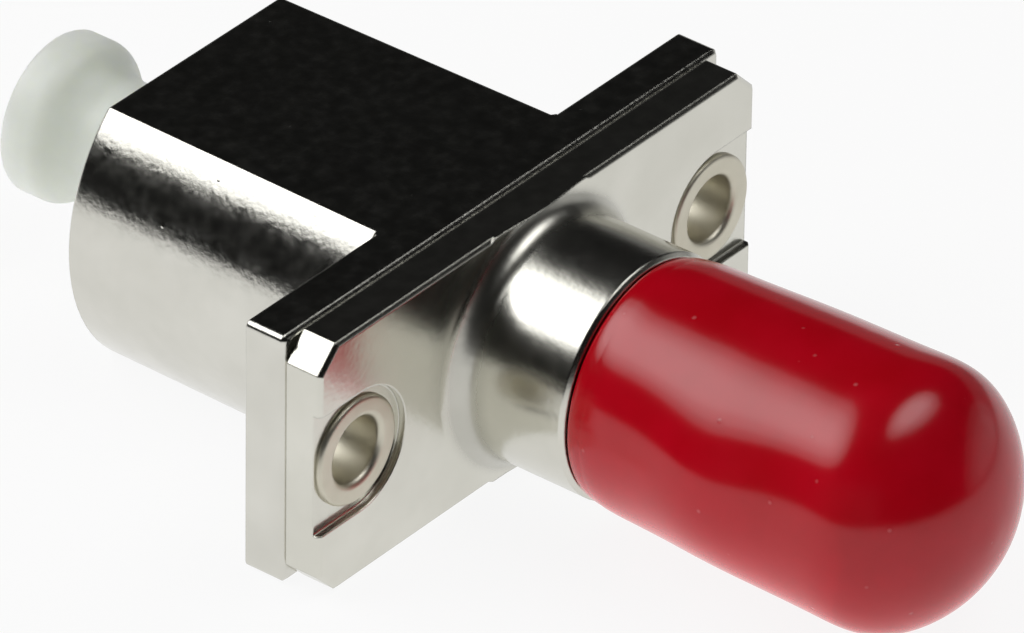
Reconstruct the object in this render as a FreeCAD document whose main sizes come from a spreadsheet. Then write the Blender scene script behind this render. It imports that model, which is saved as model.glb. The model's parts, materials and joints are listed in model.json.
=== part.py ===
import FreeCAD, Part
import math
import os
import Sketcher

# Flanged fibre adapter: an LC port on one side, a bayonet ST barrel on the other.
# The fibre axis is Y. The panel seat, the back of the flange, is the plane y = 0.
# The ST end points to -Y, the LC end to +Y, and the flange is long in X.

SIZES = {
    # the two flange plates, riveted back to back
    "flange_width": 22.0,
    "flange_height": 9.3,
    "lc_flange_thickness": 1.57,
    "st_flange_thickness": 1.49,
    "lc_corner_radius": 0.25,
    "st_corner_chamfer": 0.85,
    "edge_bevel": 0.13,
    "seat_bevel": 0.05,
    "hole_edge": 2.0,
    # tubular rivets and what they sit in
    "eyelet_bore": 2.3,
    "eyelet_wall": 0.3,
    "eyelet_clearance": 0.04,
    "eyelet_front_rim": 3.8,
    "eyelet_rim_height": 0.34,
    "eyelet_rim_bevel": 0.15,
    "eyelet_back_rim": 3.4,
    "eyelet_back_height": 0.36,
    "recess_margin": 0.35,
    "recess_depth": 0.28,
    "counterbore_margin": 0.12,
    "counterbore_depth": 0.4,
    # LC half of the housing
    "lc_body_length": 11.3,
    "lc_root_radius": 6.42,
    "lc_rear_radius": 6.32,
    "lc_root_bevel": 0.1,
    "lc_rear_bevel": 0.12,
    "lc_port_size": 4.6,
    "lc_port_lead_in": 0.3,
    "latch_slot_width": 2.9,
    "latch_slot_cover": 0.85,
    "latch_pocket_width": 4.2,
    "latch_shoulder_depth": 3.0,
    # ST half of the housing
    "collar_radius": 4.24,
    "collar_length": 4.29,
    "collar_fillet": 0.8,
    "collar_bevel": 0.14,
    "barrel_radius": 3.4,
    "barrel_length": 9.3,
    "barrel_bevel": 0.25,
    "barrel_bore_radius": 2.5,
    "barrel_bore_depth": 10.4,
    "lug_radius": 0.8,
    "lug_tip_radius": 3.86,
    "lug_setback": 3.7,
    "key_width": 1.7,
    "key_length": 4.2,
    # stepped ferrule sleeve
    "lc_ferrule_bore": 1.25,
    "lc_sleeve_outer": 1.62,
    "lc_sleeve_length": 4.4,
    "st_ferrule_bore": 2.5,
    "st_sleeve_outer": 3.2,
    "st_sleeve_length": 6.0,
    "sleeve_web": 0.5,
    "sleeve_slit": 0.3,
    "sleeve_clearance": 0.04,
    # the two sleeve holders
    "holder_clearance": 0.03,
    "lc_base_width": 6.6,
    "lc_base_margin": 0.55,
    "lc_base_thickness": 1.5,
    "lc_nose_radius": 1.45,
    "st_base_radius": 3.6,
    "st_base_thickness": 1.0,
    "st_nose_radius": 2.1,
    "holder_lip": 0.5,
    "ferrule_clearance": 0.1,
    "nose_bevel": 0.15,
    # soft cap over the ST barrel
    "cap_gap": 0.07,
    "cap_length": 13.73,
    "cap_lug_clearance": 0.06,
    "cap_mouth_wall": 0.39,
    "cap_widening": 0.29,
    "cap_dome_extra": 0.4,
    "cap_corner_radius": 2.65,
    "cap_end_wall": 1.4,
    "cap_bore_taper": 1.9,
    "cap_rim_bevel": 0.12,
    # plug in the LC port
    "plug_head_radius": 2.84,
    "plug_head_thickness": 1.4,
    "plug_head_reach": 5.85,
    "plug_head_bevel": 0.2,
    "plug_flare_length": 1.4,
    "plug_neck_radius": 2.1,
    "plug_port_clearance": 0.05,
    "plug_nose_gap": 0.32,
    "plug_bore_clearance": 0.15,
    "plug_bore_overrun": 1.6,
    "plug_tip_bevel": 0.2,
}

doc = FreeCAD.newDocument("fibre_adapter")
sheet = doc.addObject("Spreadsheet::Sheet", "Sizes")
for row, (alias, value) in enumerate(SIZES.items(), start=1):
    sheet.set("A%d" % row, alias)
    sheet.set("B%d" % row, str(value))
    sheet.setAlias("B%d" % row, alias)
doc.recompute()

# Stations along the fibre axis, as expressions of the sizes.
SEAM = "(-Sizes.lc_flange_thickness)"
FACE = "(-Sizes.lc_flange_thickness - Sizes.st_flange_thickness)"
COLLAR_END = "(%s - Sizes.collar_length)" % FACE
BARREL_END = "(%s - Sizes.barrel_length)" % COLLAR_END
CONTACT = "(%s - Sizes.sleeve_clearance - Sizes.sleeve_web)" % SEAM
LC_SLEEVE_END = "(%s + Sizes.sleeve_web + Sizes.lc_sleeve_length)" % CONTACT
LC_NOSE_TIP = "(%s + Sizes.sleeve_clearance + Sizes.holder_lip)" % LC_SLEEVE_END
HALF_HEIGHT = "(Sizes.flange_height / 2)"
HALF_WIDTH = "(Sizes.flange_width / 2)"
HALF_BASE = "(Sizes.flange_height / 2 - Sizes.lc_base_margin)"
HALF_SPACING = "(Sizes.flange_width / 2 - Sizes.hole_edge)"
RIVET_HOLE = "(Sizes.eyelet_bore / 2 + Sizes.eyelet_wall + Sizes.eyelet_clearance)"


def new_body(label):
    """Empty body with its own name."""
    body = doc.addObject("PartDesign::Body", label)
    body.Label = label
    return body


def new_sketch(body, name, role, height="0"):
    """Sketch on an origin plane of the body, at a height along that plane's normal."""
    sketch = body.newObject("Sketcher::SketchObject", name)
    plane = next(item for item in body.Origin.OriginFeatures if item.Role == role)
    sketch.AttachmentSupport = [(plane, "")]
    sketch.MapMode = "FlatFace"
    sketch.setExpression("AttachmentOffset.Base.z", height)
    return sketch


def facing(body, name, station):
    """Sketch across the fibre axis at a station: X to the right, Z up, normal to -Y."""
    return new_sketch(body, name, "XZ_Plane", "-%s" % station)


def bind(sketch, kind, items, value, expression):
    """One driven dimension, worked out from the sizes."""
    index = sketch.addConstraint(Sketcher.Constraint(kind, *items, value))
    sketch.setExpression("Constraints[%d]" % index, expression)


def place(sketch, geometry, end, x, y):
    """Puts one point of a sketch at a pair of expressions from its origin."""
    spot = sketch.getPoint(geometry, end)
    bind(sketch, "DistanceX", (-1, 1, geometry, end), spot.x, x)
    bind(sketch, "DistanceY", (-1, 1, geometry, end), spot.y, y)


def outline(sketch, points):
    """Closed run of straight lines, each corner at a pair of expressions."""
    turn = 2 * math.pi / len(points)
    spots = [FreeCAD.Vector(math.cos(turn * i), math.sin(turn * i), 0) for i in range(len(points))]
    lines = [sketch.addGeometry(Part.LineSegment(spots[i - 1], spots[i])) for i in range(len(points))]
    for before, after in zip(lines, lines[1:] + lines[:1]):
        sketch.addConstraint(Sketcher.Constraint("Coincident", before, 2, after, 1))
    for line, (x, y) in zip(lines, points):
        place(sketch, line, 2, x, y)


def box(sketch, left, right, low, high):
    """Rectangle between four expressions."""
    outline(sketch, [(left, low), (right, low), (right, high), (left, high)])


def circle(sketch, x, y, radius):
    """Circle about a pair of expressions."""
    ring = sketch.addGeometry(Part.Circle(FreeCAD.Vector(1, 1, 0), FreeCAD.Vector(0, 0, 1), 1.0))
    place(sketch, ring, 3, x, y)
    bind(sketch, "Radius", (ring,), 1.0, radius)


def extrude(body, kind, name, sketch, length, reverse=False):
    """Pad or pocket of a sketch by a length. A pad leaves along the normal, a pocket against it."""
    feature = body.newObject("PartDesign::" + kind, name)
    feature.Profile = sketch
    feature.setExpression("Length", length)
    feature.Reversed = reverse
    doc.recompute()
    return feature


def turn_about_axis(body, kind, name, points):
    """Revolution or groove about the fibre axis of a profile of (radius, station) pairs."""
    sketch = new_sketch(body, name + "_profile", "XY_Plane")
    outline(sketch, points)
    return revolve(body, kind, name, sketch)


def revolve(body, kind, name, sketch):
    """Full turn of a sketch about its vertical axis, which is the fibre axis."""
    feature = body.newObject("PartDesign::" + kind, name)
    feature.Profile = sketch
    feature.ReferenceAxis = (sketch, ["V_Axis"])
    feature.Angle = 360.0
    doc.recompute()
    return feature


def edges_where(shape, test):
    """Names of the edges that pass a test."""
    return ["Edge%d" % (i + 1) for i, edge in enumerate(shape.Edges) if test(edge)]


def soften(body, kind, name, size, test):
    """Fillet or chamfer on every edge of the body so far that passes a test."""
    base = body.Tip
    feature = body.newObject("PartDesign::" + kind, name)
    feature.Base = (base, edges_where(base.Shape, test))
    feature.setExpression("Radius" if kind == "Fillet" else "Size", size)
    doc.recompute()
    return feature


# The same stations as numbers, to find edges by their place.
SEAM_Y = -sheet.lc_flange_thickness
FACE_Y = SEAM_Y - sheet.st_flange_thickness
COLLAR_END_Y = FACE_Y - sheet.collar_length
BARREL_END_Y = COLLAR_END_Y - sheet.barrel_length
NEAR = 1e-4


def close(a, b):
    """True for two lengths that are equal but for rounding."""
    return abs(a - b) < NEAR


def flat_at(edge, station):
    """True for an edge that lies wholly in the plane across the axis at a station."""
    return close(edge.BoundBox.YMin, station) and close(edge.BoundBox.YMax, station)


def corner_post(edge):
    """True for a straight edge along Y at a corner of the flange."""
    middle = edge.BoundBox.Center
    corner = close(abs(middle.x), sheet.flange_width / 2) and close(abs(middle.z), sheet.flange_height / 2)
    return corner and edge.BoundBox.YLength > NEAR


def ring_at(radius, station):
    """Test for an edge on a circle about the fibre axis."""
    def test(edge):
        middle = edge.valueAt((edge.FirstParameter + edge.LastParameter) / 2)
        spots = [middle] + [vertex.Point for vertex in edge.Vertexes]
        return flat_at(edge, station) and all(close(math.hypot(spot.x, spot.z), radius) for spot in spots)
    return test


def flange_plate(body, thickness, station):
    """Plain plate of the flange's outline, from a station towards +Y."""
    sketch = facing(body, "plate_outline", station)
    box(sketch, "-" + HALF_WIDTH, HALF_WIDTH, "-" + HALF_HEIGHT, HALF_HEIGHT)
    extrude(body, "Pad", "plate", sketch, thickness, reverse=True)


def rivet_holes(body, name, radius, station, depth, reverse=False):
    """Two round cuts at the rivet places, from a station over a depth."""
    sketch = facing(body, name + "_outline", station)
    for side in ("-", ""):
        circle(sketch, side + HALF_SPACING, "0", radius)
    extrude(body, "Pocket", name, sketch, depth, reverse)


def trim_to_height(body, name, station, depth):
    """Cuts away what stands above or below the flange, from a station over a depth."""
    sketch = facing(body, name + "_outline", station)
    wide = "Sizes.flange_width"
    box(sketch, "-" + wide, wide, HALF_HEIGHT, "Sizes.flange_height")
    box(sketch, "-" + wide, wide, "-Sizes.flange_height", "-" + HALF_HEIGHT)
    extrude(body, "Pocket", name, sketch, depth)


def make_lc_housing():
    """Cast LC half: flange plate and a round body with flats level with the flange."""
    body = new_body("lc_housing")
    flange_plate(body, "Sizes.lc_flange_thickness", SEAM)
    soften(body, "Fillet", "plate_corners", "Sizes.lc_corner_radius", corner_post)
    soften(body, "Chamfer", "seam_bevel", "Sizes.edge_bevel", lambda edge: flat_at(edge, SEAM_Y))
    soften(body, "Chamfer", "seat_bevel", "Sizes.seat_bevel", lambda edge: flat_at(edge, 0.0))
    rear = "Sizes.lc_body_length"
    foot = "Sizes.lc_root_radius + Sizes.lc_root_bevel"
    turn_about_axis(body, "Revolution", "drafted_round", [
        ("0", "-Sizes.seat_bevel"),
        (foot, "-Sizes.seat_bevel"),
        (foot, "0"),
        ("Sizes.lc_root_radius", "Sizes.lc_root_bevel"),
        ("Sizes.lc_rear_radius", rear),
        ("0", rear),
    ])
    trim_to_height(body, "flats", "(-Sizes.seat_bevel)", "Sizes.lc_body_length + Sizes.seat_bevel")
    soften(body, "Chamfer", "rear_bevel", "Sizes.lc_rear_bevel",
           lambda edge: flat_at(edge, sheet.lc_body_length))

    seat = facing(body, "base_seat_outline", SEAM)
    half_w = "(Sizes.lc_base_width / 2 + Sizes.holder_clearance)"
    half_h = "(%s + Sizes.holder_clearance)" % HALF_BASE
    box(seat, "-" + half_w, half_w, "-" + half_h, half_h)
    extrude(body, "Pocket", "base_seat", seat, "Sizes.lc_base_thickness")

    half_port = "(Sizes.lc_port_size / 2)"
    slot_top = "(%s - Sizes.latch_slot_cover)" % HALF_HEIGHT
    port = facing(body, "port_outline", SEAM)
    box(port, "-" + half_port, half_port, "-" + half_port, half_port)
    extrude(body, "Pocket", "port", port, "Sizes.lc_flange_thickness + Sizes.lc_body_length")
    shoulder = "(Sizes.lc_body_length - Sizes.latch_shoulder_depth)"
    seat_depth = "(Sizes.lc_flange_thickness - Sizes.lc_base_thickness)"
    for name, width, start, depth in (
        ("latch_slot", "Sizes.latch_slot_width", rear, "Sizes.latch_shoulder_depth"),
        ("latch_pocket", "Sizes.latch_pocket_width", shoulder, "%s + %s" % (shoulder, seat_depth)),
    ):
        slot = facing(body, name + "_outline", start)
        half = "(%s / 2)" % width
        box(slot, "-" + half, half, "0", slot_top)
        extrude(body, "Pocket", name, slot, depth, reverse=True)
    soften(body, "Chamfer", "port_lead_in", "Sizes.lc_port_lead_in", port_mouth_edge)

    rivet_holes(body, "rivet_holes", RIVET_HOLE, SEAM, "Sizes.lc_flange_thickness")
    rivet_holes(body, "rivet_counterbores", "(Sizes.eyelet_back_rim / 2 + Sizes.counterbore_margin)",
                "0", "Sizes.counterbore_depth", reverse=True)
    return body


def port_mouth_edge(edge):
    """True for the straight edges of the port and latch slot in the rear face."""
    size = edge.BoundBox
    reach = sheet.flange_height / 2 - sheet.latch_slot_cover
    inside = max(abs(size.XMin), abs(size.XMax)) < sheet.lc_port_size / 2 + NEAR
    inside = inside and max(abs(size.ZMin), abs(size.ZMax)) < reach + NEAR
    return flat_at(edge, sheet.lc_body_length) and inside


def make_st_housing():
    """Cast ST half: flange plate, collar and bayonet barrel."""
    body = new_body("st_housing")
    flange_plate(body, "Sizes.st_flange_thickness", FACE)
    soften(body, "Chamfer", "plate_corners", "Sizes.st_corner_chamfer", corner_post)
    soften(body, "Chamfer", "seam_bevel", "Sizes.edge_bevel", lambda edge: flat_at(edge, SEAM_Y))
    soften(body, "Chamfer", "face_bevel", "Sizes.edge_bevel", lambda edge: flat_at(edge, FACE_Y))
    foot = "Sizes.collar_radius + Sizes.collar_fillet + Sizes.edge_bevel"
    foot_back = "(%s + Sizes.edge_bevel)" % FACE
    turn_about_axis(body, "Revolution", "collar_and_barrel", [
        ("0", foot_back),
        (foot, foot_back),
        (foot, FACE),
        ("Sizes.collar_radius", FACE),
        ("Sizes.collar_radius", COLLAR_END),
        ("Sizes.barrel_radius", COLLAR_END),
        ("Sizes.barrel_radius", BARREL_END),
        ("0", BARREL_END),
    ])
    soften(body, "Fillet", "collar_fillet", "Sizes.collar_fillet", ring_at(sheet.collar_radius, FACE_Y))
    trim_to_height(body, "foot_trim", "(%s - Sizes.collar_fillet)" % FACE,
                   "Sizes.collar_fillet + Sizes.edge_bevel")
    soften(body, "Chamfer", "collar_bevel", "Sizes.collar_bevel", ring_at(sheet.collar_radius, COLLAR_END_Y))
    soften(body, "Chamfer", "barrel_bevel", "Sizes.barrel_bevel", ring_at(sheet.barrel_radius, BARREL_END_Y))

    lugs = new_sketch(body, "lugs_outline", "YZ_Plane")
    circle(lugs, "%s + Sizes.lug_setback" % BARREL_END, "0", "Sizes.lug_radius")
    pad = extrude(body, "Pad", "lugs", lugs, "2 * sqrt(Sizes.lug_tip_radius ^ 2 - Sizes.lug_radius ^ 2)")
    pad.Midplane = True
    doc.recompute()

    turn_about_axis(body, "Groove", "bores", [
        ("0", BARREL_END),
        ("Sizes.barrel_bore_radius", BARREL_END),
        ("Sizes.barrel_bore_radius", "%s + Sizes.barrel_bore_depth" % BARREL_END),
        ("Sizes.st_nose_radius + Sizes.holder_clearance", "%s + Sizes.barrel_bore_depth" % BARREL_END),
        ("Sizes.st_nose_radius + Sizes.holder_clearance", "%s - Sizes.st_base_thickness" % SEAM),
        ("Sizes.st_base_radius + Sizes.holder_clearance", "%s - Sizes.st_base_thickness" % SEAM),
        ("Sizes.st_base_radius + Sizes.holder_clearance", SEAM),
        ("0", SEAM),
    ])
    key = facing(body, "key_slot_outline", BARREL_END)
    box(key, "-Sizes.key_width / 2", "Sizes.key_width / 2", "0", "Sizes.barrel_radius + Sizes.key_width")
    extrude(body, "Pocket", "key_slot", key, "Sizes.key_length")

    rivet_holes(body, "rivet_holes", RIVET_HOLE, FACE, "Sizes.st_flange_thickness")
    recess = "(Sizes.eyelet_front_rim / 2 + Sizes.recess_margin)"
    rivet_holes(body, "recess_ends", recess, FACE, "Sizes.recess_depth")
    sides = facing(body, "recess_sides_outline", FACE)
    box(sides, "-Sizes.flange_width", "-" + HALF_SPACING, "-" + recess, recess)
    box(sides, HALF_SPACING, "Sizes.flange_width", "-" + recess, recess)
    extrude(body, "Pocket", "recess_sides", sides, "Sizes.recess_depth")
    return body


def make_eyelet(label, side):
    """Tubular rivet, rolled over in the front recess and set into the back counterbore."""
    body = new_body(label)
    front = "(%s + Sizes.recess_depth)" % FACE
    back = "(-Sizes.counterbore_depth)"
    bore = "Sizes.eyelet_bore / 2"
    tube = "Sizes.eyelet_bore / 2 + Sizes.eyelet_wall"
    turn_about_axis(body, "Revolution", "rolled_tube", [
        (bore, "%s - Sizes.eyelet_rim_height" % front),
        ("Sizes.eyelet_front_rim / 2", "%s - Sizes.eyelet_rim_height" % front),
        ("Sizes.eyelet_front_rim / 2", front),
        (tube, front),
        (tube, back),
        ("Sizes.eyelet_back_rim / 2", back),
        ("Sizes.eyelet_back_rim / 2", "%s + Sizes.eyelet_back_height" % back),
        (bore, "%s + Sizes.eyelet_back_height" % back),
    ])
    front_y = FACE_Y + sheet.recess_depth - sheet.eyelet_rim_height
    soften(body, "Chamfer", "rolled_rim", "Sizes.eyelet_rim_bevel", lambda edge: flat_at(edge, front_y))
    body.setExpression("Placement.Base.x", side + HALF_SPACING)
    return body


def make_sleeve():
    """One stepped split sleeve: wide for the ST ferrule, narrow for the LC ferrule."""
    body = new_body("ferrule_sleeve")
    st_end = "%s - Sizes.st_sleeve_length" % CONTACT
    step = "%s + Sizes.sleeve_web" % CONTACT
    turn_about_axis(body, "Revolution", "stepped_tube", [
        ("Sizes.st_ferrule_bore / 2", st_end),
        ("Sizes.st_sleeve_outer / 2", st_end),
        ("Sizes.st_sleeve_outer / 2", step),
        ("Sizes.lc_sleeve_outer / 2", step),
        ("Sizes.lc_sleeve_outer / 2", LC_SLEEVE_END),
        ("Sizes.lc_ferrule_bore / 2", LC_SLEEVE_END),
        ("Sizes.lc_ferrule_bore / 2", CONTACT),
        ("Sizes.st_ferrule_bore / 2", CONTACT),
    ])
    slit = facing(body, "slit_outline", "(%s)" % st_end)
    box(slit, "-Sizes.sleeve_slit / 2", "Sizes.sleeve_slit / 2", "-Sizes.st_sleeve_outer", "0")
    whole = "Sizes.st_sleeve_length + Sizes.sleeve_web + Sizes.lc_sleeve_length"
    extrude(body, "Pocket", "slit", slit, whole)
    return body


def make_lc_holder():
    """Moulded holder of the sleeve's narrow end: a plate in the LC flange and a nose in the port."""
    body = new_body("lc_sleeve_holder")
    plate = facing(body, "base_outline", SEAM)
    half_w = "(Sizes.lc_base_width / 2)"
    box(plate, "-" + half_w, half_w, "-" + HALF_BASE, HALF_BASE)
    extrude(body, "Pad", "base", plate, "Sizes.lc_base_thickness", reverse=True)
    inner = "Sizes.lc_sleeve_outer / 2 + Sizes.sleeve_clearance"
    lip = "Sizes.lc_ferrule_bore / 2 + Sizes.ferrule_clearance"
    stop = "%s + Sizes.sleeve_clearance" % LC_SLEEVE_END
    turn_about_axis(body, "Revolution", "nose", [
        ("0", SEAM),
        ("Sizes.lc_nose_radius", SEAM),
        ("Sizes.lc_nose_radius", LC_NOSE_TIP),
        ("0", LC_NOSE_TIP),
    ])
    turn_about_axis(body, "Groove", "sleeve_bore", [
        ("0", SEAM),
        (inner, SEAM),
        (inner, stop),
        (lip, stop),
        (lip, LC_NOSE_TIP),
        ("0", LC_NOSE_TIP),
    ])
    tip_y = body.Shape.BoundBox.YMax
    soften(body, "Chamfer", "nose_bevel", "Sizes.nose_bevel", ring_at(sheet.lc_nose_radius, tip_y))
    return body


def make_st_holder():
    """Turned holder of the sleeve's wide end, with a round base in the ST flange."""
    body = new_body("st_sleeve_holder")
    inner = "Sizes.st_sleeve_outer / 2 + Sizes.sleeve_clearance"
    lip = "Sizes.st_ferrule_bore / 2 + Sizes.ferrule_clearance"
    stop = "%s - Sizes.st_sleeve_length - Sizes.sleeve_clearance" % CONTACT
    tip = "%s - Sizes.holder_lip" % stop
    base = "%s - Sizes.st_base_thickness" % SEAM
    turn_about_axis(body, "Revolution", "flanged_tube", [
        (inner, SEAM),
        ("Sizes.st_base_radius", SEAM),
        ("Sizes.st_base_radius", base),
        ("Sizes.st_nose_radius", base),
        ("Sizes.st_nose_radius", tip),
        (lip, tip),
        (lip, stop),
        (inner, stop),
    ])
    tip_y = body.Shape.BoundBox.YMin
    soften(body, "Chamfer", "nose_bevel", "Sizes.nose_bevel", ring_at(sheet.st_nose_radius, tip_y))
    return body


def chain(sketch, *ends):
    """Joins the points of a sketch in pairs, each given as (geometry, end)."""
    for before, after in zip(ends[::2], ends[1::2]):
        sketch.addConstraint(Sketcher.Constraint("Coincident", *before, *after))


def smooth(sketch, before, after):
    """Joins two curves end to end with one tangent, each given as (geometry, end)."""
    sketch.addConstraint(Sketcher.Constraint("Tangent", *before, *after))


def arc_between(sketch, centre, radius, start, finish):
    """Arc about a centre, counter-clockwise from one point to another."""
    ring = Part.Circle(centre, FreeCAD.Vector(0, 0, 1), radius)
    angles = [math.atan2(spot.y - centre.y, spot.x - centre.x) for spot in (start, finish)]
    return sketch.addGeometry(Part.ArcOfCircle(ring, *angles))


def line_between(sketch, start, finish):
    """Straight line from one point to another."""
    return sketch.addGeometry(Part.LineSegment(start, finish))


def make_dust_cap():
    """Dipped soft cap: a wall that widens a little to a domed closed end."""
    body = new_body("st_dust_cap")
    mouth = "%s - Sizes.cap_gap" % COLLAR_END
    tip = "%s - Sizes.cap_length" % mouth
    bore_radius = "(Sizes.lug_tip_radius + Sizes.cap_lug_clearance)"
    mouth_radius = "(%s + Sizes.cap_mouth_wall)" % bore_radius
    end_radius = "(%s + Sizes.cap_widening)" % mouth_radius
    mouth_y = COLLAR_END_Y - sheet.cap_gap
    tip_y = mouth_y - sheet.cap_length
    mouth_r = sheet.lug_tip_radius + sheet.cap_lug_clearance + sheet.cap_mouth_wall
    end_r = mouth_r + sheet.cap_widening
    dome_r = end_r + sheet.cap_dome_extra

    # Outer form: wall, corner arc and dome arc, each tangent to the next.
    dome = FreeCAD.Vector(0, tip_y + dome_r, 0)
    reach = end_r - sheet.cap_corner_radius
    drop = math.sqrt((dome_r - sheet.cap_corner_radius) ** 2 - reach ** 2)
    corner = FreeCAD.Vector(reach, dome.y - drop, 0)
    outward = (corner - dome).normalize()
    low = FreeCAD.Vector(0, tip_y, 0)
    high = FreeCAD.Vector(0, mouth_y, 0)
    lip = FreeCAD.Vector(mouth_r, mouth_y, 0)
    wall_end = FreeCAD.Vector(end_r, corner.y, 0)
    meeting = dome + outward * dome_r
    outer = new_sketch(body, "outer_profile", "XY_Plane")
    axis = line_between(outer, low, high)
    face = line_between(outer, high, lip)
    wall = line_between(outer, lip, wall_end)
    corner_arc = arc_between(outer, corner, sheet.cap_corner_radius, meeting, wall_end)
    dome_arc = arc_between(outer, dome, dome_r, low, meeting)
    chain(outer, (axis, 2), (face, 1), (face, 2), (wall, 1), (axis, 1), (dome_arc, 1))
    smooth(outer, (wall, 2), (corner_arc, 2))
    smooth(outer, (corner_arc, 1), (dome_arc, 2))
    outer.addConstraint(Sketcher.Constraint("PointOnObject", dome_arc, 3, -2))
    place(outer, axis, 1, "0", tip)
    place(outer, axis, 2, "0", mouth)
    place(outer, face, 2, mouth_radius, mouth)
    bind(outer, "DistanceX", (-1, 1, wall, 2), wall_end.x, end_radius)
    bind(outer, "Radius", (corner_arc,), sheet.cap_corner_radius, "Sizes.cap_corner_radius")
    bind(outer, "Radius", (dome_arc,), dome_r, "%s + Sizes.cap_dome_extra" % end_radius)
    revolve(body, "Revolution", "outer_form", outer)

    # Bore: a straight wall that narrows to a flat end.
    bore_end = "%s + Sizes.cap_end_wall" % tip
    turn_about_axis(body, "Groove", "bore", [
        ("0", mouth),
        (bore_radius, mouth),
        (bore_radius, "%s + Sizes.cap_bore_taper" % bore_end),
        (bore_radius + " - Sizes.cap_bore_taper", bore_end),
        ("0", bore_end),
    ])
    soften(body, "Chamfer", "rim", "Sizes.cap_rim_bevel", lambda edge: flat_at(edge, mouth_y))
    return body


def make_dust_plug():
    """Moulded plug: a hollow shank in the port, a neck and a round head with a hollow flare under it."""
    body = new_body("lc_dust_plug")
    rear = "Sizes.lc_body_length"
    shank = "Sizes.lc_port_size / 2 - Sizes.plug_port_clearance"
    inner_end = "%s + Sizes.plug_nose_gap" % LC_NOSE_TIP
    head_back = "%s + Sizes.plug_head_reach" % rear
    head_front = "%s - Sizes.plug_head_thickness" % head_back
    flare_start = "%s - Sizes.plug_flare_length" % head_front
    turn_about_axis(body, "Revolution", "shank", [
        ("0", inner_end),
        (shank, inner_end),
        (shank, rear),
        ("0", rear),
    ])

    # Neck and head: the flare is one arc, tangent to the neck, that ends at the head's front edge.
    rear_y = sheet.lc_body_length
    back_y = rear_y + sheet.plug_head_reach
    front_y = back_y - sheet.plug_head_thickness
    flare_y = front_y - sheet.plug_flare_length
    rise = sheet.plug_head_radius - sheet.plug_neck_radius
    sweep = (rise ** 2 + sheet.plug_flare_length ** 2) / (2 * rise)
    spots = [FreeCAD.Vector(x, y, 0) for x, y in (
        (sheet.plug_head_radius, front_y),
        (sheet.plug_head_radius, back_y),
        (0, back_y),
        (0, rear_y),
        (sheet.plug_neck_radius, rear_y),
        (sheet.plug_neck_radius, flare_y),
    )]
    head = new_sketch(body, "head_profile", "XY_Plane")
    lines = [line_between(head, a, b) for a, b in zip(spots, spots[1:])]
    centre = FreeCAD.Vector(sheet.plug_neck_radius + sweep, flare_y, 0)
    flare = arc_between(head, centre, sweep, spots[0], spots[-1])
    for before, after in zip(lines, lines[1:]):
        chain(head, (before, 2), (after, 1))
    chain(head, (lines[0], 1), (flare, 1))
    smooth(head, (lines[-1], 2), (flare, 2))
    place(head, lines[0], 1, "Sizes.plug_head_radius", head_front)
    place(head, lines[0], 2, "Sizes.plug_head_radius", head_back)
    place(head, lines[1], 2, "0", head_back)
    place(head, lines[2], 2, "0", rear)
    place(head, lines[3], 2, "Sizes.plug_neck_radius", rear)
    place(head, lines[4], 2, "Sizes.plug_neck_radius", flare_start)
    revolve(body, "Revolution", "neck_and_head", head)

    bore = "Sizes.lc_nose_radius + Sizes.plug_bore_clearance"
    turn_about_axis(body, "Groove", "shank_bore", [
        ("0", inner_end),
        (bore, inner_end),
        (bore, "%s + Sizes.plug_bore_overrun" % LC_NOSE_TIP),
        ("0", "%s + Sizes.plug_bore_overrun" % LC_NOSE_TIP),
    ])
    inner_y = body.Shape.BoundBox.YMin
    shank_radius = sheet.lc_port_size / 2 - sheet.plug_port_clearance
    soften(body, "Chamfer", "head_edge", "Sizes.plug_head_bevel", ring_at(sheet.plug_head_radius, back_y))
    soften(body, "Chamfer", "tip_edge", "Sizes.plug_tip_bevel", ring_at(shank_radius, inner_y))
    return body


parts = [
    make_lc_housing(),
    make_st_housing(),
    make_eyelet("left_eyelet", "-"),
    make_eyelet("right_eyelet", ""),
    make_sleeve(),
    make_lc_holder(),
    make_st_holder(),
    make_dust_cap(),
    make_dust_plug(),
]
doc.recompute()

# Every object is sound before anything is written.
failed = [item.Name for item in doc.Objects if "Invalid" in item.State or "Error" in item.State]
if failed:
    raise RuntimeError("failed objects: " + ", ".join(failed))
for part in parts:
    if part.Shape.isNull() or not part.Shape.isValid():
        raise RuntimeError("bad shape: " + part.Label)

os.makedirs("parts", exist_ok=True)
for part in parts:
    part.Shape.exportStep("parts/%s.step" % part.Label)
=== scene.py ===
import json
import math

import bpy
from mathutils import Matrix, Quaternion, Vector, noise

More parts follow.
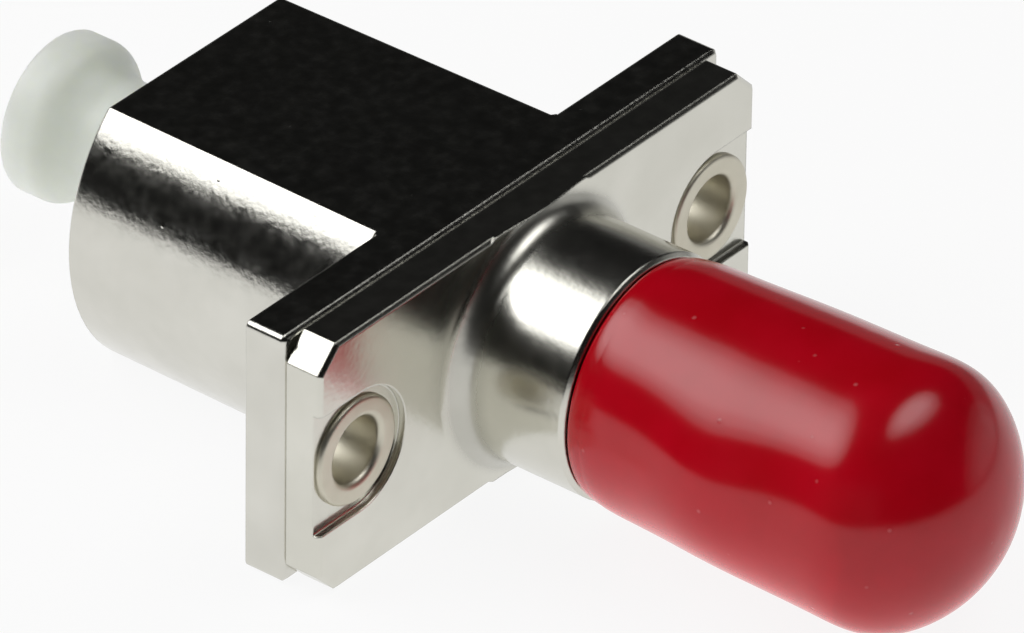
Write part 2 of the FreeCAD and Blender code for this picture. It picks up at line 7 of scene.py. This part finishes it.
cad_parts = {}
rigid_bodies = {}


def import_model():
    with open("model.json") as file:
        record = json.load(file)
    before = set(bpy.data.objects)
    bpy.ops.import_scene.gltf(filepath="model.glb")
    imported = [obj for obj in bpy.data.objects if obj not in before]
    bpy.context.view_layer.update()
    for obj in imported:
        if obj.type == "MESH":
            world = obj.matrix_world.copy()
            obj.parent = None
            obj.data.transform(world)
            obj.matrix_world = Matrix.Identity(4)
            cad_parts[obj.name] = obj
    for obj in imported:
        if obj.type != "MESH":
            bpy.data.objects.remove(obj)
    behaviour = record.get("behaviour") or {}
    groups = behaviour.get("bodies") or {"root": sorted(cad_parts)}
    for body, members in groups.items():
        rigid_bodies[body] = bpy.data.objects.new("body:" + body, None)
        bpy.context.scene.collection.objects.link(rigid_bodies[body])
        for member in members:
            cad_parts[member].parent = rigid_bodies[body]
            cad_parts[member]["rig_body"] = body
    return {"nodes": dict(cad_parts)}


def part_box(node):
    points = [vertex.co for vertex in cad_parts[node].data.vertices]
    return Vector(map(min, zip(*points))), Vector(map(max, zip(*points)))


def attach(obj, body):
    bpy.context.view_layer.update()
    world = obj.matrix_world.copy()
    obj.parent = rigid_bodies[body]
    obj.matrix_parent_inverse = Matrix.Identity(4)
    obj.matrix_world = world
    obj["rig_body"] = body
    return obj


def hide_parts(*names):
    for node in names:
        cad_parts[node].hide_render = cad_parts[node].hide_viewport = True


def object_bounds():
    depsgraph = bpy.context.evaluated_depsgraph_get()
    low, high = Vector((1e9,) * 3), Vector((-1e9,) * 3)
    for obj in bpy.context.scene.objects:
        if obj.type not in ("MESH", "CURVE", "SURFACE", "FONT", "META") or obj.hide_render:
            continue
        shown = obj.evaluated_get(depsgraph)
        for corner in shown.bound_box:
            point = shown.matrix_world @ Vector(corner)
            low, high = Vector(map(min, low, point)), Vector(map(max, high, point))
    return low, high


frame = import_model()
cad_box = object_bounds()

# Lengths below are in millimetres, and become metres as they reach Blender. Angles are in degrees.
MM = 0.001
MICRON = MM * MM

# Soft cap: outer form, the rolled lip at its mouth and the bulges that the bayonet lugs push out.
CAP_WIDENING = 0.29
CAP_DOME_EXTRA = 0.4
CAP_CORNER_RADIUS = 2.5
CAP_EASE = 0.7
CAP_BORE_RADIUS = 3.92
CAP_END_WALL = 1.4
CAP_LIP_LENGTH = 1.1
CAP_LIP_DROP = 0.27
LUG_SETBACK = 5.2
LUG_BULGE = 0.36
LUG_BULGE_LENGTH = 1.6
LUG_BULGE_ANGLE = 23
CAP_WAVE = 0.012
CAP_WAVE_LENGTH = 3.0

# Rivet rims: a flat front one that rolls into the bore, and a rounded back one.
RIM_BORE_RADIUS = 1.15
RIM_TUBE_RADIUS = 1.45
RIM_FRONT_SEAT = 0.34
RIM_FRONT_HEIGHT = 0.2
RIM_FRONT_ROUND = 0.14
RIM_MOUTH_ROUND = 0.24
RIM_BACK_RADIUS = 1.7
RIM_BACK_HEIGHT = 0.36

# Plug in the LC port.
PLUG_SHANK_RADIUS = 2.25
PLUG_NECK_RADIUS = 2.02
PLUG_HEAD_THICKNESS = 1.4
PLUG_HEAD_ROUND = 0.2
PLUG_BROW_EASE = 0.4
PLUG_FLARE_LENGTH = 1.4
PLUG_BORE_RADIUS = 1.6
PLUG_BORE_DEPTH = 1.28
PLUG_TIP_ROUND = 0.2

# Steps of the turned pieces: round the axis, along an arc, and along the cap's arcs, wall and bore.
TURN_STEPS = 160
ARC_STEPS = 14
CAP_ARC_STEPS = 28
CAP_WALL_STEPS = 84
CAP_BORE_STEPS = 56

# Shares of a noise at which a finish has its first and its second tone, and rays that round an edge.
TONE_STOPS = (0.3, 0.7)
EDGE_SAMPLES = 6

# Nickel plate: waves and grain, as pairs of a size and a share of the plate's relief, and its pits.
NICKEL_RELIEF = ((0.8, 1.3), (0.2, 0.9))
NICKEL_PIT_CELL = 1.3
NICKEL_PIT_SHARE = 0.05
NICKEL_PIT_DEPTH = 2.0

# Corner between the flange and the collar, where the plating is duller and its colour is darkened as painted
# shade: stations from the flange's face.
FLANGE_FACE = -3.06
CORNER_STATIONS = (0.0, 0.1, 0.6, 1.3)
CORNER_DULLNESS = 0.09
CORNER_PAINTED_SHADE = 0.18

# Camera, fitted to the photograph's edges: where it stands, its roll and the point it looks at.
CAMERA_AZIMUTH = -51.6974
CAMERA_ELEVATION = 33.5909
CAMERA_ROLL = 0.8425
CAMERA_DISTANCE = 450.0
CAMERA_AIM = (1.5068, -0.6531)
CAMERA_LENS = 495.92
CAMERA_SENSOR = 36.0
CAMERA_CLIP = (10.0, 20000.0)

# Power of a lamp for a radiance of one and a face one wide and one high, by the face's shape.
LAMP_POWER = {"RECTANGLE": 4.0, "ELLIPSE": math.pi}

# Panels of a softbox: shares of its radiance, from its whole face to its middle, and the step between two.
SOFTBOX_SHARES = (0.35, 0.35, 0.3)
SOFTBOX_STEP = 1.0

# Floor and room: half size, share of glow, greys, and the centre and fade of the painted pool of light that
# metal mirrors.
FLOOR_HALF = 3000.0
FLOOR_GLOW = 0.9
PAPER_GREY = 0.9
ROOM_GREY = 0.008
POOL_CENTRE = (-30.0, 10.0)
POOL_FADE = (20.0, 320.0)


def line(start, end, steps):
    """Points of a straight stretch, without its start."""
    return [tuple(a + (b - a) * i / steps for a, b in zip(start, end)) for i in range(1, steps + 1)]


def arc(centre, radius, start, end, steps=ARC_STEPS):
    """Points of an arc between two angles, without its start. A pair of radii makes an ellipse."""
    wide, high = radius if isinstance(radius, tuple) else (radius, radius)
    angles = [math.radians(start + (end - start) * i / steps) for i in range(1, steps + 1)]
    return [(centre[0] + wide * math.cos(a), centre[1] + high * math.sin(a)) for a in angles]


def softened(points, reach):
    """Points of a stretch, each moved to the mean of the stretch within a reach of it. The ends stay."""
    marks = [0.0]
    for before, after in zip(points, points[1:]):
        marks.append(marks[-1] + math.dist(before, after))

    def spot(mark):
        """Point at a length along the stretch."""
        after = next((i for i in range(1, len(marks)) if marks[i] >= mark), len(marks) - 1)
        share = (mark - marks[after - 1]) / (marks[after] - marks[after - 1])
        return [a + (b - a) * share for a, b in zip(points[after - 1], points[after])]

    soft = []
    for mark in marks:
        room = min(reach, mark, marks[-1] - mark)
        near = [spot(mark + room * i / ARC_STEPS) for i in range(-ARC_STEPS, ARC_STEPS + 1)]
        soft.append(tuple(sum(values) / len(near) for values in zip(*near)))
    return soft


def bell(distance, width):
    """Bell curve: one at no distance, falling off by a width."""
    return math.exp(-0.5 * (distance / width) ** 2)


def turned(name, profile, closed=False, centre=0.0, warp=None):
    """Smooth mesh of a profile of (radius, station), turned about the fibre axis or one beside it."""
    verts = []
    rings = []
    for radius, station in profile:
        count = 1 if radius <= 0 else TURN_STEPS
        ring = []
        for i in range(count):
            angle = 2 * math.pi * i / TURN_STEPS
            reach = radius + (warp(radius, station, angle) if warp else 0.0)
            ring.append(len(verts))
            verts.append((centre + reach * math.cos(angle), station, reach * math.sin(angle)))
        rings.append(ring)
    faces = []
    next_rings = rings[1:] + rings[:1] if closed else rings[1:]
    for before, after in zip(rings, next_rings):
        for i in range(TURN_STEPS):
            corners = [before[(i + 1) % len(before)], before[i % len(before)]]
            corners += [after[i % len(after)], after[(i + 1) % len(after)]]
            faces.append(list(dict.fromkeys(corners)))
    mesh = bpy.data.meshes.new(name)
    mesh.from_pydata([tuple(MM * c for c in vert) for vert in verts], [], faces)
    mesh.validate()
    mesh.shade_smooth()
    return placed(name, mesh)


def placed(name, data):
    """New object of a mesh, a lamp or a camera, linked to the scene."""
    made = bpy.data.objects.new(name, data)
    bpy.context.scene.collection.objects.link(made)
    return made


def mm_box(node):
    """Lowest and highest corner of a CAD node, in millimetres."""
    low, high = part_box(node)
    return low / MM, high / MM


def stand_in(piece, node, material):
    """Puts a piece in the place of a CAD node, on the same body, hides the node and gives the piece a
    finish.
    """
    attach(piece, frame["nodes"][node]["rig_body"])
    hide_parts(node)
    piece.data.materials.append(material)


def make_cap(material):
    """Dipped cap with a soft lip, a drafted wall, a domed end and a bulge over each lug."""
    low, high = mm_box("st_dust_cap")
    mouth = high.y
    tip = low.y
    end_r = (high.x - low.x) / 2
    mouth_r = end_r - CAP_WIDENING
    dome_r = end_r + CAP_DOME_EXTRA
    dome_y = tip + dome_r
    corner_r = end_r - CAP_CORNER_RADIUS
    corner_y = dome_y - math.sqrt((dome_r - CAP_CORNER_RADIUS) ** 2 - corner_r ** 2)
    meeting = math.degrees(math.atan2(corner_y - dome_y, corner_r))
    lip_y = mouth - CAP_LIP_LENGTH
    lip_r = mouth_r - CAP_LIP_DROP
    bore_end = tip + CAP_END_WALL
    bore_round = CAP_BORE_RADIUS / 2
    bore_y = bore_end + bore_round
    skin = [(0.0, tip)]
    skin += arc((0.0, dome_y), dome_r, -90, meeting, CAP_ARC_STEPS)
    skin += arc((corner_r, corner_y), CAP_CORNER_RADIUS, meeting, 0, CAP_ARC_STEPS)
    skin += line((end_r, corner_y), (mouth_r, lip_y), CAP_WALL_STEPS)
    skin += arc((lip_r, lip_y), (CAP_LIP_DROP, CAP_LIP_LENGTH), 0, 90, CAP_ARC_STEPS)
    profile = softened(skin, CAP_EASE)
    profile.append((CAP_BORE_RADIUS, mouth))
    profile += line((CAP_BORE_RADIUS, mouth), (CAP_BORE_RADIUS, bore_y), CAP_BORE_STEPS)
    profile += arc((CAP_BORE_RADIUS - bore_round, bore_y), bore_round, 0, -90)
    profile.append((0.0, bore_end))

    def warp(radius, station, angle):
        """Push of the lugs on either side, and the slight waviness of a dipped skin."""
        side = math.asin(abs(math.sin(angle)))
        bulge = bell(side, math.radians(LUG_BULGE_ANGLE))
        bulge *= bell(station - mouth + LUG_SETBACK, LUG_BULGE_LENGTH)
        spot = Vector((radius * math.cos(angle), station, radius * math.sin(angle))) / CAP_WAVE_LENGTH
        wave = CAP_WAVE * noise.noise(spot) * min(1.0, radius / CAP_BORE_RADIUS)
        return LUG_BULGE * bulge + wave

    stand_in(turned("dust_cap_skin", profile, warp=warp), "st_dust_cap", material)


def make_eyelet(node, material):
    """Tubular rivet: a flattened front rim that rolls into the bore, and a rounded back rim."""
    low, high = mm_box(node)
    centre = (low.x + high.x) / 2
    rim_r = (high.x - low.x) / 2
    foot = low.y + RIM_FRONT_SEAT
    front = foot - RIM_FRONT_HEIGHT
    edge_r = rim_r - RIM_FRONT_ROUND
    edge_y = front + RIM_FRONT_ROUND
    mouth_r = RIM_BORE_RADIUS + RIM_MOUTH_ROUND
    mouth_y = front + RIM_MOUTH_ROUND
    back = high.y
    back_foot = back - RIM_BACK_HEIGHT
    back_round = RIM_BACK_HEIGHT / 2
    back_y = back - back_round
    back_outer = RIM_BACK_RADIUS - back_round
    back_inner = RIM_BORE_RADIUS + back_round
    profile = [(rim_r, foot), (RIM_TUBE_RADIUS, foot), (RIM_TUBE_RADIUS, back_foot), (back_outer, back_foot)]
    profile += arc((back_outer, back_y), back_round, -90, 90)
    profile.append((back_inner, back))
    profile += arc((back_inner, back_y), back_round, 90, 180)
    profile += line((RIM_BORE_RADIUS, back_y), (RIM_BORE_RADIUS, mouth_y), ARC_STEPS)
    profile += arc((mouth_r, mouth_y), RIM_MOUTH_ROUND, 180, 270)
    profile.append((edge_r, front))
    profile += arc((edge_r, edge_y), RIM_FRONT_ROUND, 270, 360)
    stand_in(turned(node + "_rolled", profile, closed=True, centre=centre), node, material)


def make_plug(material):
    """Moulded plug: hollow shank, neck, flare and a round head with soft edges."""
    low, high = mm_box("lc_dust_plug")
    tip = low.y
    bore_end = tip + PLUG_BORE_DEPTH
    tip_r = PLUG_SHANK_RADIUS - PLUG_TIP_ROUND
    rear = mm_box("lc_housing")[1].y
    head_r = (high.x - low.x) / 2
    head_back = high.y
    head_front = head_back - PLUG_HEAD_THICKNESS
    crown_r = head_r - PLUG_HEAD_ROUND
    crown_y = head_back - PLUG_HEAD_ROUND
    flare = head_front - PLUG_FLARE_LENGTH
    rise = head_r - PLUG_NECK_RADIUS
    sweep = (rise ** 2 + PLUG_FLARE_LENGTH ** 2) / (2 * rise)
    opening = math.degrees(math.asin(PLUG_FLARE_LENGTH / sweep))
    flank = arc((PLUG_NECK_RADIUS + sweep, flare), sweep, 180, 180 - opening)
    flank += line((head_r, head_front), (head_r, crown_y), ARC_STEPS)
    profile = [(0.0, bore_end), (PLUG_BORE_RADIUS, bore_end), (PLUG_BORE_RADIUS, tip), (tip_r, tip)]
    profile += arc((tip_r, tip + PLUG_TIP_ROUND), PLUG_TIP_ROUND, -90, 0)
    profile += [(PLUG_SHANK_RADIUS, rear), (PLUG_NECK_RADIUS, rear)]
    profile += line((PLUG_NECK_RADIUS, rear), (PLUG_NECK_RADIUS, flare), ARC_STEPS)
    profile += softened(flank, PLUG_BROW_EASE)
    profile += arc((crown_r, crown_y), PLUG_HEAD_ROUND, 0, 90)
    profile += line((crown_r, head_back), (0.0, head_back), ARC_STEPS)
    stand_in(turned("dust_plug_moulding", profile), "lc_dust_plug", material)


def opaque(colour):
    """Colour with full alpha, as a colour socket takes it."""
    return (*colour, 1.0)


class Nodes:
    """Node tree whose sockets take a plain value or another node's output alike."""

    def __init__(self, tree):
        self.tree = tree

    def node(self, kind, **sockets):
        """New node with values or links on its inputs."""
        made = self.tree.nodes.new(kind)
        self.set(made, **sockets)
        return made

    def set(self, target, **sockets):
        """Value or link for each input, named with an underscore for each space."""
        for key, value in sockets.items():
            self.join(value, target.inputs[key.replace("_", " ")])

    def join(self, value, socket):
        """Value or link for one input."""
        if isinstance(value, bpy.types.NodeSocket):
            self.tree.links.new(value, socket)
        else:
            socket.default_value = value

    def maths(self, operation, first, second):
        """Result of an operation on two outputs, or on an output and a plain value."""
        made = self.node("ShaderNodeMath")
        made.operation = operation
        self.join(first, made.inputs[0])
        self.join(second, made.inputs[1])
        return made.outputs[0]

    def blend(self, share, first, second):
        """Shader that turns from one node's into another's by a share."""
        made = self.node("ShaderNodeMixShader", Fac=share)
        self.join(first.outputs[0], made.inputs[1])
        self.join(second.outputs[0], made.inputs[2])
        return made.outputs[0]


class Finish(Nodes):
    """Node material around one Principled shader. Uniform values sit on the shader's own sockets."""

    def __init__(self, name, **sockets):
        self.material = bpy.data.materials.new(name)
        self.material.use_nodes = True
        super().__init__(self.material.node_tree)
        self.surface = self.tree.nodes["Principled BSDF"]
        self.place = self.node("ShaderNodeTexCoord").outputs["Object"]
        self.set(self.surface, **sockets)

    def done(self, **sockets):
        """The material, once the rest of its surface is set."""
        self.set(self.surface, **sockets)
        return self.material

    def noise(self, size, detail=3.0):
        """Noise with features of a size."""
        made = self.node("ShaderNodeTexNoise", Vector=self.place, Scale=1 / (size * MM), Detail=detail)
        return made.outputs["Fac"]

    def specks(self, cell, share):
        """White spots on black, here and there in cells of a size."""
        cells = self.node("ShaderNodeTexVoronoi", Vector=self.place, Scale=1 / (cell * MM))
        return self.ramp(cells.outputs["Distance"], (0.0, (1, 1, 1)), (share, (0, 0, 0)))

    def rings(self, size, wobble):
        """Rings of a size round the fibre axis."""
        made = self.node("ShaderNodeTexWave", Vector=self.place, Scale=1 / (size * MM), Distortion=wobble)
        made.bands_direction = "Y"
        return made.outputs["Fac"]

    def ramp(self, factor, *stops):
        """Colour ramp through two (position, colour) stops."""
        made = self.node("ShaderNodeValToRGB", Fac=factor)
        for element, (position, colour) in zip(made.color_ramp.elements, stops):
            element.position = position
            element.color = opaque(colour)
        return made.outputs["Color"]

    def tones(self, size, low, high, detail=3.0):
        """Colour that drifts between two tones, in clouds of a size."""
        return self.ramp(self.noise(size, detail), (TONE_STOPS[0], low), (TONE_STOPS[1], high))

    def tinted(self, colour, factor, tint):
        """Colour of an output, turned into a plain tint by a factor."""
        made = self.node("ShaderNodeMix")
        made.data_type = "RGBA"
        sockets = {socket.identifier: socket for socket in made.inputs}
        self.join(factor, sockets["Factor_Float"])
        self.join(colour, sockets["A_Color"])
        self.join(opaque(tint), sockets["B_Color"])
        return next(socket for socket in made.outputs if socket.identifier == "Result_Color")

    def scaled(self, colour, factor):
        """Colour of an output, made lighter or darker by a factor."""
        made = self.node("ShaderNodeVectorMath")
        made.operation = "SCALE"
        self.join(colour, made.inputs[0])
        self.join(factor, made.inputs["Scale"])
        return made.outputs["Vector"]

    def span(self, factor, low, high):
        """Factor from 0..1 moved to a range of plain values."""
        made = self.node("ShaderNodeMapRange", Value=factor, To_Min=low, To_Max=high)
        return made.outputs["Result"]

    def drift(self, size, low, high):
        """Value that drifts within a range, in patches of a size."""
        return self.span(self.noise(size), low, high)

    def rise(self, value, start, end):
        """Nothing at a start and one from an end."""
        made = self.node("ShaderNodeMapRange", Value=value, From_Min=start * MM, From_Max=end * MM)
        return made.outputs["Result"]

    def bump(self, height, depth, normal=None):
        """Normal from a height map that is some thousandths of a millimetre deep."""
        made = self.node("ShaderNodeBump", Height=height, Distance=depth * MICRON, Strength=1.0)
        if normal is not None:
            self.set(made, Normal=normal)
        return made.outputs["Normal"]

    def soft_edges(self, radius):
        """Normal that rounds the edges of the solid by a radius."""
        made = self.node("ShaderNodeBevel", Radius=radius * MM)
        made.samples = EDGE_SAMPLES
        return made.outputs["Normal"]


def corner_share(finish):
    """One in the corner between the flange and the collar, falling to nothing on both."""
    station = finish.node("ShaderNodeSeparateXYZ", Vector=finish.place).outputs["Y"]
    edge, start, end, clear = [FLANGE_FACE - reach for reach in CORNER_STATIONS]
    return finish.maths("MULTIPLY", finish.rise(station, edge, start), finish.rise(station, clear, end))


def nickel(name, low, high, roughness, patches, relief, dull_and_shaded_corner=False):
    """Nickel plate: warm grey, semi-gloss, slightly wavy and grainy, with a few pits; on request a duller
    corner by the collar, darkened with painted shade.
    """
    finish = Finish(name, Metallic=1.0)
    colour = finish.tones(size=2.5, low=low, high=high, detail=4.0)
    dullness = finish.drift(size=0.5, low=roughness * (1 - patches), high=roughness * (1 + patches))
    if dull_and_shaded_corner:
        share = corner_share(finish)
        dullness = finish.maths("ADD", dullness, finish.maths("MULTIPLY", share, CORNER_DULLNESS))
        # Painted shade: the colour darkens in the corner by the collar, which dims the reflection there.
        colour = finish.scaled(colour, finish.span(share, 1.0, 1.0 - CORNER_PAINTED_SHADE))
    normal = finish.soft_edges(radius=0.1)
    for size, depth in NICKEL_RELIEF:
        normal = finish.bump(finish.noise(size, detail=2.0), relief * depth, normal)
    pits = finish.specks(NICKEL_PIT_CELL, NICKEL_PIT_SHARE)
    normal = finish.bump(pits, relief * NICKEL_PIT_DEPTH, normal)
    return finish.done(Base_Color=colour, Roughness=dullness, Normal=normal)


def red_vinyl():
    """Glossy dipped vinyl with faint mottling, a slightly uneven skin and a few light specks."""
    finish = Finish("red_vinyl_skin", IOR=1.5)
    skin = finish.tones(size=2.0, low=(0.44, 0.001, 0.007), high=(0.5, 0.0015, 0.011), detail=4.0)
    specks = finish.specks(cell=1.2, share=0.08)
    colour = finish.tinted(skin, specks, tint=(0.58, 0.11, 0.12))
    dullness = finish.drift(size=0.8, low=0.13, high=0.18)
    normal = finish.bump(finish.noise(size=1.2, detail=2.0), depth=5.0)
    normal = finish.bump(specks, depth=8.0, normal=normal)
    return finish.done(Base_Color=colour, Roughness=dullness, Normal=normal)


def milky_plug():
    """Milky polyethylene: light goes in and scatters, with soft cloudiness and a satin skin."""
    finish = Finish("milky_polyethylene", Subsurface_Weight=0.9, Subsurface_Radius=(1.8, 1.8, 1.5),
                    Subsurface_Scale=MM, IOR=1.5)
    colour = finish.tones(size=1.8, low=(0.75, 0.78, 0.72), high=(0.8, 0.83, 0.78))
    dullness = finish.drift(size=0.4, low=0.38, high=0.5)
    normal = finish.bump(finish.noise(size=0.3), depth=2.0)
    return finish.done(Base_Color=colour, Roughness=dullness, Normal=normal)


def zirconia():
    """Polished white ceramic with a faint cloudiness."""
    finish = Finish("zirconia_ceramic", Subsurface_Weight=0.15, Subsurface_Radius=(0.5, 0.45, 0.4),
                    Subsurface_Scale=MM, IOR=2.1)
    colour = finish.tones(size=0.7, low=(0.8, 0.79, 0.74), high=(0.87, 0.86, 0.82))
    dullness = finish.drift(size=0.3, low=0.08, high=0.14)
    return finish.done(Base_Color=colour, Roughness=dullness, Normal=finish.soft_edges(radius=0.04))


def ivory_moulding():
    """Moulded ivory plastic with a fine spark-eroded grain."""
    finish = Finish("ivory_moulding", IOR=1.48)
    colour = finish.tones(size=1.0, low=(0.68, 0.64, 0.5), high=(0.74, 0.7, 0.57))
    dullness = finish.drift(size=0.2, low=0.4, high=0.55)
    normal = finish.bump(finish.noise(size=0.06), depth=2.0, normal=finish.soft_edges(radius=0.06))
    return finish.done(Base_Color=colour, Roughness=dullness, Normal=normal)


def turned_brass():
    """Plated turned brass: rings of the tool run round the fibre axis."""
    finish = Finish("turned_brass", Metallic=1.0)
    colour = finish.tones(size=1.2, low=(0.56, 0.5, 0.38), high=(0.62, 0.57, 0.45))
    dullness = finish.drift(size=0.4, low=0.2, high=0.3)
    rings = finish.rings(size=1.2, wobble=0.4)
    normal = finish.bump(rings, depth=1.5, normal=finish.soft_edges(radius=0.05))
    return finish.done(Base_Color=colour, Roughness=dullness, Normal=normal)


def dress_node(node, material):
    """Gives a CAD node that stays in view its finish."""
    mesh = frame["nodes"][node].data
    mesh.materials.clear()
    mesh.materials.append(material)


def direction(azimuth, elevation):
    """Unit vector towards a place in the studio; azimuth 0 is the side that looks along +Y."""
    a = math.radians(azimuth)
    e = math.radians(elevation)
    return Vector((math.sin(a) * math.cos(e), -math.cos(a) * math.cos(e), math.sin(e)))


def panel(name, azimuth, elevation, distance, width, height, radiance, shape="RECTANGLE", roll=0):
    """Area lamp turned to the object, whose face has a size and a radiance."""
    lamp = bpy.data.lights.new(name, "AREA")
    lamp.shape = shape
    lamp.size = width * MM
    lamp.size_y = height * MM
    lamp.energy = LAMP_POWER[shape] * radiance * lamp.size * lamp.size_y
    stand = placed(name, lamp)
    away = direction(azimuth, elevation)
    stand.location = away * distance * MM
    spin = Quaternion((0.0, 0.0, 1.0), math.radians(roll))
    stand.rotation_euler = (away.to_track_quat("Z", "Y") @ spin).to_euler()
    stand.visible_camera = False
    return stand


def softbox(name, distance, width, height, radiance, **turn):
    """Lamp that is brightest in its middle: panels of falling size, one in front of the other."""
    for ring, share in enumerate(SOFTBOX_SHARES):
        size = 1 - ring / (len(SOFTBOX_SHARES) + 1)
        panel("%s_%d" % (name, ring), distance=distance - ring * SOFTBOX_STEP, width=width * size,
              height=height * size, radiance=radiance * share, shape="ELLIPSE", **turn)


def fill(name, **face):
    """Broad lamp that lights the object without a reflection of its own."""
    panel(name, **face).visible_glossy = False


def make_lamps():
    """Two bright softboxes, a dim side panel, a dim card in front and three fills."""
    softbox("key_softbox", azimuth=-154, elevation=45, distance=420, width=500, height=296, radiance=3.2)
    softbox("top_softbox", azimuth=40, elevation=66, roll=-35, distance=420, width=420, height=230,
            radiance=2.6)
    panel("side_panel", azimuth=105, elevation=6, distance=500, width=800, height=160, radiance=0.12)
    softbox("front_card", azimuth=52, elevation=0, distance=500, width=560, height=420, radiance=0.45)
    fill("overhead_fill", azimuth=0, elevation=90, distance=700, width=900, height=900, radiance=0.15)
    fill("left_fill", azimuth=-80, elevation=8, distance=600, width=900, height=500, radiance=0.6)
    fill("light_table", azimuth=0, elevation=-90, distance=250, width=900, height=900, radiance=1.5)


def make_floor():
    """White floor under the object, which keeps a faint shadow and lets the light table shine through."""
    low = cad_box[0].z
    half = FLOOR_HALF * MM
    mesh = bpy.data.meshes.new("floor")
    corners = [(-half, -half, low), (half, -half, low), (half, half, low), (-half, half, low)]
    mesh.from_pydata(corners, [], [(0, 1, 2, 3)])
    mesh.materials.append(pale_paper())
    floor = placed("floor", mesh)
    floor.visible_shadow = False


def pale_paper():
    """Paper that is nearly plain white to the camera, shows a painted pool of light in reflections, and is
    partly lit.
    """
    material = bpy.data.materials.new("pale_paper")
    material.use_nodes = True
    material.node_tree.nodes.clear()
    nodes = Nodes(material.node_tree)
    reach = nodes.node("ShaderNodeVectorMath")
    reach.operation = "DISTANCE"
    nodes.join(nodes.node("ShaderNodeNewGeometry").outputs["Position"], reach.inputs[0])
    nodes.join((POOL_CENTRE[0] * MM, POOL_CENTRE[1] * MM, cad_box[0].z), reach.inputs[1])
    fade = nodes.node("ShaderNodeMapRange", Value=reach.outputs["Value"], From_Min=POOL_FADE[0] * MM,
                      From_Max=POOL_FADE[1] * MM, To_Min=1.0, To_Max=0.0).outputs["Result"]
    path = nodes.node("ShaderNodeLightPath").outputs
    shown = nodes.maths("MAXIMUM", path["Is Camera Ray"], path["Is Transmission Ray"])
    # Painted pool of light: in reflections the floor glows, fading away from a centre.
    pool = nodes.maths("MULTIPLY", path["Is Glossy Ray"], fade)
    paper = nodes.node("ShaderNodeBsdfDiffuse", Color=opaque([PAPER_GREY] * 3))
    glow = nodes.node("ShaderNodeEmission", Strength=nodes.maths("MAXIMUM", shown, pool))
    seen = nodes.maths("MAXIMUM", shown, path["Is Glossy Ray"])
    mixed = nodes.blend(nodes.maths("MULTIPLY", seen, FLOOR_GLOW), paper, glow)
    nodes.node("ShaderNodeOutputMaterial", Surface=mixed)
    return material


def make_room():
    """Dark room with a white backdrop behind the floor, which only the camera sees."""
    world = bpy.data.worlds.new("studio")
    bpy.context.scene.world = world
    world.use_nodes = True
    nodes = Nodes(world.node_tree)
    room = nodes.tree.nodes["Background"]
    nodes.set(room, Color=opaque([ROOM_GREY] * 3))
    backdrop = nodes.node("ShaderNodeBackground", Color=opaque([1.0] * 3))
    seen = nodes.node("ShaderNodeLightPath").outputs["Is Camera Ray"]
    nodes.set(nodes.tree.nodes["World Output"], Surface=nodes.blend(seen, room, backdrop))


def make_camera():
    """Long lens at the photograph's viewing angle."""
    lens = bpy.data.cameras.new("camera")
    lens.sensor_fit = "HORIZONTAL"
    lens.sensor_width = CAMERA_SENSOR
    lens.lens = CAMERA_LENS
    lens.clip_start = CAMERA_CLIP[0] * MM
    lens.clip_end = CAMERA_CLIP[1] * MM
    camera = placed("camera", lens)
    azimuth = math.radians(CAMERA_AZIMUTH)
    roll = math.radians(CAMERA_ROLL)
    back = direction(CAMERA_AZIMUTH, CAMERA_ELEVATION)
    right = Vector((math.cos(azimuth), math.sin(azimuth), 0.0))
    up = back.cross(right)
    axis_x = right * math.cos(roll) + up * math.sin(roll)
    axis_y = up * math.cos(roll) - right * math.sin(roll)
    place = (axis_x * CAMERA_AIM[0] + axis_y * CAMERA_AIM[1] + back * CAMERA_DISTANCE) * MM
    turn = Matrix((axis_x, axis_y, back)).transposed()
    camera.matrix_world = Matrix.Translation(place) @ turn.to_4x4()
    bpy.context.scene.camera = camera


bpy.context.scene.view_settings.view_transform = "Standard"
make_camera()
make_floor()
make_lamps()
make_room()

bright = nickel("bright_nickel", low=(0.63, 0.62, 0.565), high=(0.69, 0.68, 0.625),
                roughness=0.17, patches=0.65, relief=5.0)
satin = nickel("satin_nickel", low=(0.64, 0.63, 0.565), high=(0.7, 0.69, 0.625),
               roughness=0.21, patches=0.2, relief=2.6, dull_and_shaded_corner=True)
rolled = nickel("rolled_nickel", low=(0.58, 0.55, 0.45), high=(0.65, 0.62, 0.52),
                roughness=0.42, patches=0.2, relief=2.0)
dress_node("lc_housing", bright)
dress_node("st_housing", satin)
dress_node("ferrule_sleeve", zirconia())
dress_node("lc_sleeve_holder", ivory_moulding())
dress_node("st_sleeve_holder", turned_brass())
make_cap(red_vinyl())
make_plug(milky_plug())
for rivet in ("left_eyelet", "right_eyelet"):
    make_eyelet(rivet, rolled)
